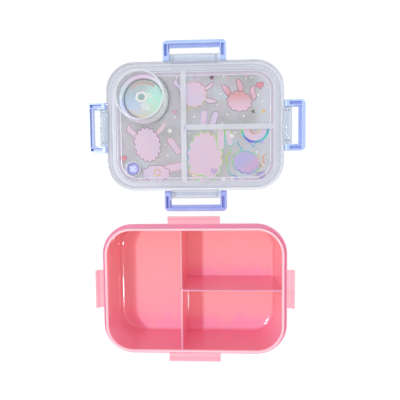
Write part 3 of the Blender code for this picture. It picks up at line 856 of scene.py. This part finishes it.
def make_seal():
    """The frosted band with two fine lines along it, and the two bars of its T."""
    low, high = SEAL_BOX[0].z, SEAL_BOX[1].z
    near, far, edge, line_depth = 4.4 * MM, 9.4 * MM, 0.6 * MM, 0.5 * MM
    section = [(near + 0.2 * MM, low), (near, low + 0.2 * MM)]
    section += arc((near + edge, high - edge), edge, 180, 90, 3)
    for line in (5.9 * MM, 7.4 * MM):
        section += [(line, high), (line + 0.2 * MM, high - line_depth)]
        section += [(line + 0.6 * MM, high - line_depth), (line + 0.8 * MM, high)]
    section += [*arc((far - edge, high - edge), edge, 90, 0, 3), (far, low + 0.2 * MM), (far - 0.2 * MM, low)]
    add_piece("seal_band", lid_loft(section, closed=True), FROST, "lid_seal")
    reach_x, reach_y = LID_OUTLINE[0] - 9 * MM, LID_OUTLINE[1] - 9 * MM
    long_place = moved(LID_X + BAR_X, LID_Y, math.pi / 2)
    short_place = moved(LID_X + (reach_x + BAR_X) / 2, LID_Y + BAR_Y)
    bars = (("long", 2 * reach_y, long_place), ("short", reach_x - BAR_X, short_place))
    for kind, length, place in bars:
        bm = prism(bar_points(length), low + 0.2 * MM, high - 0.1 * MM, place)
        add_piece(f"seal_bar_{kind}", bm, FROST, "lid_seal", rounding=0.5 * MM)


# Latches


def make_latch(name, turn):
    """A bail: a rounded block with a window, a step along its bar and a slot in each arm."""
    outer, window = LATCH_SIZES[name]["outer"], LATCH_SIZES[name]["window"]
    half = LATCH_THICK / 2
    bm = bmesh.new()
    block(bm, (-outer / 2, -LATCH_END, -half), (outer / 2, BAR_FAR, half))
    corners = [e for e in bm.edges if abs(e.verts[0].co.z - e.verts[1].co.z) > half and e.verts[0].co.y > 0]
    bmesh.ops.bevel(bm, geom=corners, offset=5 * MM, segments=10, profile=0.5, affect="EDGES")
    hinge_end = [e for e in bm.edges if all(v.co.y < 0 for v in e.verts) and e.calc_length() > outer / 2]
    bmesh.ops.bevel(bm, geom=hinge_end, offset=half - 0.1 * MM, segments=10, profile=0.5, affect="EDGES")
    # Painted shade: the back latch takes the darker lavender copy
    outside = LAVENDER_PAINTED_SHADE if name == "latch_back" else LAVENDER
    latch = new_object(name + "_bail", bm, outside, LAVENDER_RECESS_SHADE)

    def cut_window(cut):
        block(cut, (-window / 2, -3 * LATCH_END, -LATCH_THICK), (window / 2, BAR_NEAR, LATCH_THICK))

    def cut_details(cut):
        step = window / 2 + 1 * MM
        block(cut, (-step, 8 * MM, 0.8 * MM), (step, 16.6 * MM, LATCH_THICK))
        arm = (outer - window) / 2
        slot = arm * 0.22
        for centre in (-(window + arm) / 2, (window + arm) / 2):
            block(cut, (centre - slot, 3 * MM, -0.8 * MM), (centre + slot, 16.4 * MM, LATCH_THICK))

    subtract(latch, "window", cut_window)
    subtract(latch, "details", cut_details)
    # Painted shade: the floors of the step and the slots take the darker lavender
    for face in latch.data.polygons:
        if face.normal.z > 0.9 and face.center.z < half * 0.6:
            face.material_index = 1
    latch.data.transform(Matrix.Translation(HINGES[name]) @ Matrix.Rotation(turn, 4, "Z"))
    in_place(soften(latch, 0.45 * MM), name)


# Dip pot, its seal and the vent plug


def pot_section():
    """From the middle of the closed end, down the outside to the mouth and back up the inside."""
    low, high = POT_BOX[0].z, POT_BOX[1].z
    mouth, end, wall, centre = 29.5 * MM, 27.8 * MM, 1.2 * MM, 0.5 * MM
    band, foot = 9.8 * MM, 20.9 * MM
    yield (centre, high - 0.6 * MM)
    yield from ((foot - 1.4 * MM, high - 0.6 * MM), (foot - 0.9 * MM, high - 0.4 * MM))
    yield from ((foot - 0.6 * MM, high), (foot + 0.6 * MM, high))
    yield from ((foot + 0.9 * MM, high - 0.5 * MM), (end - 2.2 * MM, high - 0.5 * MM))
    yield from ((end - 1.9 * MM, high - 0.2 * MM), (end - 1.0 * MM, high - 0.2 * MM))
    yield from arc((end - 0.8 * MM, high - 1.0 * MM), 0.8 * MM, 90, 4, 5)
    yield from ((mouth - 0.5 * MM, band + 0.6 * MM), (mouth, band), (mouth, low + 0.4 * MM))
    yield from arc((mouth - wall / 2, low + wall / 2), wall / 2, 0, -180, 6)
    inner, corner = end - wall, 2.2 * MM
    yield (mouth - wall, band)
    yield from arc((inner - corner, high - 3.8 * MM), corner, 4, 90, 8)
    yield (centre, high - 1.6 * MM)


def make_pot():
    """The cup, with its outer edge drawn more strongly, and the gasket at its mouth, whose turning colours
    are painted reflections.
    """
    pot = new_object("pot_cup", turn_loft(pot_section(), POT_CENTRE), POT_CLEAR, POT_LINE)
    for face in pot.data.polygons:
        radius = (face.center.xy - POT_CENTRE).length
        if face.center.z > POT_BOX[1].z - 0.7 * MM and radius > 25.5 * MM:
            face.material_index = 1
    in_place(soften(pot), "dip_pot")
    bm = ring(POT_CENTRE, 23.5 * MM, 29.5 * MM, POT_SEAL_BOX[0].z, POT_SEAL_BOX[1].z)
    add_piece("pot_gasket", bm, GASKET_PAINTED_REFLECTION, "dip_pot_seal")


def make_vent():
    """A cup on a stem, with four petals in its floor."""
    low, high = VENT_BOX[0].z, VENT_BOX[1].z
    radius = (VENT_BOX[1].x - VENT_BOX[0].x) / 2
    centre, stem, underside, floor = 0.3 * MM, 3.2 * MM, 4.0 * MM, 5.6 * MM
    lip, fillet = 0.8 * MM, 1.4 * MM
    section = [(centre, low), (stem, low), (stem, underside)]
    section += [(radius - 0.3 * MM, underside), (radius, underside + 0.3 * MM)]
    section += arc((radius - lip, high - lip), lip, 0, 90, 4)
    section += arc((radius - lip, high - lip), lip, 90, 175, 4)
    section += [*arc((radius - 3 * MM, floor + fillet), fillet, 0, -90, 5), (centre, floor)]
    add_piece("vent_cup", turn_loft(section, VENT_CENTRE), VIOLET, "vent_plug")
    petal = [(2.5 * MM + x, y) for x, y in oval(2.6 * MM, 1.35 * MM, 28)]
    for index in range(4):
        place = moved(*VENT_CENTRE, math.radians(45 + 90 * index))
        bm = prism(petal, floor - 0.3 * MM, floor + 0.5 * MM, place)
        add_piece(f"vent_petal_{index}", bm, VENT_RELIEF, "vent_plug", rounding=0.2 * MM)


# Printed film

PRINT_STEP = 0.018 * MM  # between one printed layer and the next
POT_PRINT = (-60.2, 33.2)


def make_film():
    """The sheet, and two borders printed on it."""
    near, far = FILM_INSET, PANEL_REACH
    section = [(far, FILM_LOW), (near, FILM_LOW), (near, FILM_TOP), (far, FILM_TOP)]
    add_piece("film_sheet", lid_loft(section), FILM, "lid_film")
    film_border("border", FILM_INSET + 0.2 * MM, 14.6 * MM, BORDER, 1)
    film_border("band", 10.9 * MM, 13.7 * MM, MAUVE_BAND, 2)


def film_border(name, near, far, material, layer):
    """A strip printed through the film all round it, between two insets from the lid's outline."""
    proud = (layer + 0.5) * PRINT_STEP
    low, high = FILM_LOW - proud, FILM_TOP + proud
    bm = lid_loft([(far, low), (near, low), (near, high), (far, high)], closed=True)
    add_piece(f"film_{name}", bm, material, "lid_film", replaces=False)


# Printed shapes, in millimetres about their own middle


def heart(size):
    points = []
    for a in full_turn(48):
        x = 16 * math.sin(a) ** 3
        y = 13 * math.cos(a) - 5 * math.cos(2 * a) - 2 * math.cos(3 * a) - math.cos(4 * a)
        points.append((-x * size / 32, y * size / 32))
    return points


def star(size):
    """Five tips, one of them on +Y, and inner corners half as far out."""
    reaches = [size / 2, size / 4] * 5
    return [polar(reach, a + math.pi / 2) for reach, a in zip(reaches, full_turn(10))]


def flower(size, petals):
    return [polar(size / 2 * (0.72 + 0.28 * math.cos(petals * a)), a) for a in full_turn(90)]


def disc(size, steps=32):
    return oval(size / 2, size / 2, steps)


def cloud(width, height, puffs):
    """An oval with a scalloped edge."""
    points = []
    for a in full_turn(puffs * 10):
        puff = 0.86 + 0.14 * abs(math.sin(puffs * a / 2))
        points.append((width / 2 * puff * math.cos(a), height / 2 * puff * math.sin(a)))
    return points


def capsule(width, length):
    half = (length - width) / 2
    return [*arc((0, half), width / 2, 0, 180, 12), *arc((0, -half), width / 2, 180, 360, 12)]


def ribbon(length, width, sway, bends):
    """A wavy strip along Y with pointed ends."""
    right, left = [], []
    steps = 40
    for index in range(steps + 1):
        part = index / steps
        half = max(width / 2 * math.sqrt(math.sin(math.pi * part)), 0.1)
        middle = sway * math.sin(math.pi * bends * part)
        right.append((middle + half, length * (part - 0.5)))
        left.append((middle - half, length * (part - 0.5)))
    return right + left[::-1]


def bow(inner, outer, start, end):
    """Part of a ring, as in a rainbow or a doughnut."""
    return [*arc((0, 0), outer, start, end, 40), *arc((0, 0), inner, end, start, 40)]


def grown(points, width):
    """The outline moved outwards by width."""
    result = []
    for index, (x, y) in enumerate(points):
        before, after = points[index - 1], points[(index + 1) % len(points)]
        along = Vector((after[0] - before[0], after[1] - before[1])).normalized()
        result.append((x + along.y * width, y - along.x * width))
    return result


def motif(name, points, place, turn, fill, line=None, line_width=0.5, layer=0):
    """One shape printed through the film, with a thin line round it. A higher layer lies over a lower one."""
    shapes = [("fill", points, fill)]
    if line:
        shapes.insert(0, ("line", grown(points, line_width), line))
    where = moved(LID_X + place[0] * MM, LID_Y + place[1] * MM, math.radians(turn))
    for index, (part, shape, material) in enumerate(shapes):
        proud = (2 * layer + index + 3.5) * PRINT_STEP
        bm = prism([(x * MM, y * MM) for x, y in shape], FILM_LOW - proud, FILM_TOP + proud, where)
        piece = new_object(f"print_{name}_{part}", bm, material)
        in_place(piece, "lid_film", replaces=False)


def print_clouds():
    """Puffy clouds, each with a few balloons or ribbons flying from it."""
    motif("cloud_left", cloud(32, 42, 17), (-57, -20), 12, PALE_PINK, MAUVE, layer=1)
    motif("cloud_left_wing", ribbon(20, 7, 2, 2), (-75, -5), 20, PALE_PINK, MAUVE)
    motif("cloud_left_plume", ribbon(19, 5, 1, 1), (-41, -1), -40, PALE_PINK, WARM)
    motif("cloud_ring", cloud(34, 20, 8), (-47, -54), 0, PALE_PINK, MAUVE, layer=1)
    motif("cloud_ring_hole", bow(3.2, 4.4, 0, 359), (-46, -53), 0, WARM, layer=2)
    motif("cloud_back", cloud(30, 30, 12), (-1, 38), 20, PALE_PINK, WARM, layer=1)
    motif("cloud_back_plume", ribbon(20, 6, 3, 2), (-19, 48), 10, PALE_PINK, MAUVE)
    motif("cloud_back_arm_a", ribbon(15, 4, 1, 1), (16, 47), -55, PALE_PINK, MAUVE)
    motif("cloud_back_arm_b", ribbon(15, 5, 1, 1), (18, 31), -105, PALE_PINK, MAUVE)
    motif("cloud_coral", cloud(30, 24, 11), (52, 29), -10, CORAL_FADE, MAUVE, layer=1)
    motif("cloud_coral_arm_a", ribbon(17, 6, 1, 1), (37, 41), 35, CORAL, MAUVE)
    motif("cloud_coral_arm_b", ribbon(18, 6, 1, 1), (52, 46), 15, CORAL, MAUVE)
    motif("cloud_coral_arm_c", ribbon(17, 6, 2, 2), (68, 38), -15, CORAL, MAUVE)
    motif("cloud_big", cloud(42, 62, 16), (11, -36), 0, PALE_PINK, RAINBOW, 0.8, layer=1)
    motif("cloud_big_heart", heart(9), (22, -52), 0, LILAC, layer=2)
    motif("cloud_lilac", cloud(34, 26, 13), (60, -42), -15, LILAC, RAINBOW, 0.8, layer=1)


def print_balloons():
    """Long balloons, a rainbow bow and thin wavy ribbons."""
    motif("balloon_a", capsule(7, 20), (10, 9), -8, PALE_PINK, SKY, layer=1)
    motif("balloon_b", capsule(7, 20), (22, 8), -20, PALE_PINK, MAUVE, layer=2)
    motif("balloon_c", capsule(8, 24), (30, -15), 0, PALE_PINK, RAINBOW, 0.8, layer=2)
    motif("balloon_d", capsule(7, 18), (40, -13), 12, PALE_PINK, RAINBOW, 0.8, layer=3)
    motif("balloon_e", capsule(7, 22), (-25, -22), 35, PALE_PINK, WARM)
    motif("balloon_f", capsule(8, 24), (-25, -47), 100, PALE_PINK, RED)
    motif("bow_outer", bow(14, 16.5, 180, 360), (70, -3), 0, RAINBOW)
    motif("bow_fill", bow(7, 13.6, 180, 360), (70, -3), 0, PALE_PINK)
    motif("bow_inner", bow(5.4, 6.6, 180, 360), (70, -3), 0, WARM)
    ribbons = (
        ((38, -37), 30, 2.0, 3, -10),
        ((44, -57), 16, 3.0, 2, 25),
        ((52, -23), 14, 2.5, 2, 0),
        ((68, -21), 14, 3.0, 3, 90),
        ((80, -40), 18, 2.0, 2, -25),
        ((-16, -55), 15, 1.5, 1, 0),
        ((6, -57), 20, 1.5, 2, 60),
        ((-12, 20), 16, 2.0, 3, 80),
    )
    for index, (place, length, sway, bends, turn) in enumerate(ribbons):
        motif(f"ribbon_{index}", ribbon(length, 1.4, sway, bends), place, turn, RAINBOW, layer=3)


def print_sprinkles():
    """Small hearts, stars, flowers and dots between the clouds."""
    hearts = (
        ("pink", (-86, -36), 8, RED), ("coral", (76, 47), 9, RED), ("lilac", (77, -57), 9, LILAC),
        ("small", (-24, 18), 5, CORAL), ("tiny", (-33, 36), 4, CORAL),
    )
    for name, place, size, colour in hearts:
        motif(f"heart_{name}", heart(size), place, 10, colour, MAUVE, 0.35, layer=4)
    stars = (
        ((0, 57), 5, LILAC), ((20, 57), 7, MAUVE), ((68, 17), 6, OLIVE), ((80, 17), 6, WARM),
        ((78, -18), 6, SKY), ((38, 56), 4, CORAL), ((60, 58), 4, CORAL), ((-86, -22), 5, LILAC),
    )
    for index, (place, size, colour) in enumerate(stars):
        motif(f"star_{index}", star(size), place, 12 * index, colour, layer=4)
    for index, place in enumerate(((43, -11), (33, -62), (-30, -4))):
        motif(f"flower_{index}", flower(6, 6), place, 0, CREAM, layer=4)
    dots = (
        (-85, -9), (-83, 56), (-33, -33), (-31, -59), (-67, -61), (-1, 12), (26, 25), (32, 4), (47, -7),
        (-7, -7), (5, -62), (74, 36), (79, 28), (80, -45), (43, -62), (54, -62), (66, 56), (-24, 12),
        (60, 55), (38, 14), (-70, -45), (-36, -20), (-21, 58), (30, 38), (84, 44), (34, 58), (57, 12),
        (24, -5), (-3, -57), (72, -30),
    )
    for index, place in enumerate(dots):
        motif(f"dot_{index}", disc(1.6 + 0.3 * (index % 3)), place, 0, CREAM, layer=4)


def print_hologram():
    """A round holographic patch under the pot, with a cut gem in the middle. Its colours turning round the
    pot and its gold bow are painted iridescent reflections.
    """
    gem_place = (POT_PRINT[0] - 3, POT_PRINT[1] + 3)
    motif("hologram", disc(47.4, 96), POT_PRINT, 0, HOLOGRAM_PAINTED_REFLECTION, layer=3)
    # Painted glint: the gold bow is an iridescent reflection at the pot's end
    motif("hologram_gold", bow(19.6, 21.4, 215, 285), POT_PRINT, 0, GOLD_GLINT, layer=4)
    motif("hologram_peach", bow(18, 21.3, 50, 140), POT_PRINT, 0, PEACH, layer=4)
    motif("gem", oval(8, 7, 6), gem_place, 15, CREAM, layer=4)
    motif("gem_core", oval(4.6, 4.2, 6), gem_place, 15, TEAL, layer=5)
    facets = (
        ("right", ((4.5, 7), (6.5, 7.6), (9.5, 2), (8, 0.4)), CREAM),
        ("low", ((-4, -5.5), (1, -2.5), (6, -6), (8, -12), (-2, -13)), PALE),
        ("edge", ((9.5, 0.4), (14.5, -4.5), (15.5, -3.4), (10, 2.2)), PALE),
    )
    for name, corners, colour in facets:
        motif(f"gem_{name}", corners[::-1], POT_PRINT, 0, colour, layer=5)


# Stage


def make_stage():
    """A white floor just under the box, which mostly shines by itself."""
    bpy.ops.mesh.primitive_plane_add(size=6, location=(0, 0, -0.05 * MM))
    floor = bpy.context.object
    floor.name = "floor"
    look = Look("floor")
    look.surface({"Base Color": (0.14, 0.14, 0.14), "Roughness": 0.8})
    look.surface({"Emission Color": (1.0, 1.0, 1.0), "Emission Strength": 0.9})
    floor.data.materials.append(look.material)


def aim(lamp, direction):
    """Links a lamp and points it along a direction."""
    lamp.rotation_euler = Vector(direction).to_track_quat("-Z", "Y").to_euler()
    bpy.context.scene.collection.objects.link(lamp)


def make_light():
    """A sun from the left and an even white sky, which is brighter where the camera sees it."""
    world = bpy.data.worlds.new("studio")
    bpy.context.scene.world = world
    world.use_nodes = True
    nodes, links = world.node_tree.nodes, world.node_tree.links
    background = nodes["Background"]
    background.inputs["Color"].default_value = (1.0, 1.0, 1.0, 1)
    path = nodes.new("ShaderNodeLightPath")
    strength = nodes.new("ShaderNodeMapRange")
    strength.inputs["To Min"].default_value = 0.65
    strength.inputs["To Max"].default_value = 1.0
    links.new(path.outputs["Is Camera Ray"], strength.inputs["Value"])
    links.new(strength.outputs["Result"], background.inputs["Strength"])
    sun = bpy.data.lights.new("key", "SUN")
    sun.energy = 1.32
    sun.angle = math.radians(4)
    aim(bpy.data.objects.new("key", sun), (0.37, 0.0, -1.0))


def make_strips():
    """Two lamps that only show as small glints on glossy edges."""
    target = Vector((0, 0.08, 0.03))
    for name, place in (("strip_left", (-0.45, 0.30, 0.55)), ("strip_right", (0.50, -0.25, 0.60))):
        strip = bpy.data.lights.new(name, "AREA")
        strip.shape = "RECTANGLE"
        strip.size, strip.size_y = 0.08, 0.20
        strip.energy = 4.5
        lamp = bpy.data.objects.new(name, strip)
        lamp.location = place
        lamp.visible_diffuse = False
        lamp.visible_transmission = False
        aim(lamp, target - Vector(place))


def make_camera():
    """Looks almost straight down, from above the side of the lid nearest the tray."""
    data = bpy.data.cameras.new("camera")
    data.sensor_width = 36.0
    data.lens = 35.2
    data.clip_start = 0.01
    camera = bpy.data.objects.new("camera", data)
    camera.location = (26.5 * MM, 121.7 * MM, 466.3 * MM)
    camera.rotation_euler = (-0.060, 0.046, -0.010)
    bpy.context.scene.collection.objects.link(camera)
    bpy.context.scene.camera = camera


make_tray()
make_lid_cover()
make_film()
print_clouds()
print_balloons()
print_sprinkles()
print_hologram()
make_liner()
make_seal()
for latch_name, latch_turn, _ in sides():
    make_latch(latch_name, latch_turn)
make_pot()
make_vent()
make_stage()
make_light()
make_strips()
make_camera()
bpy.context.scene.view_settings.view_transform = "Standard"
bpy.context.view_layer.update()
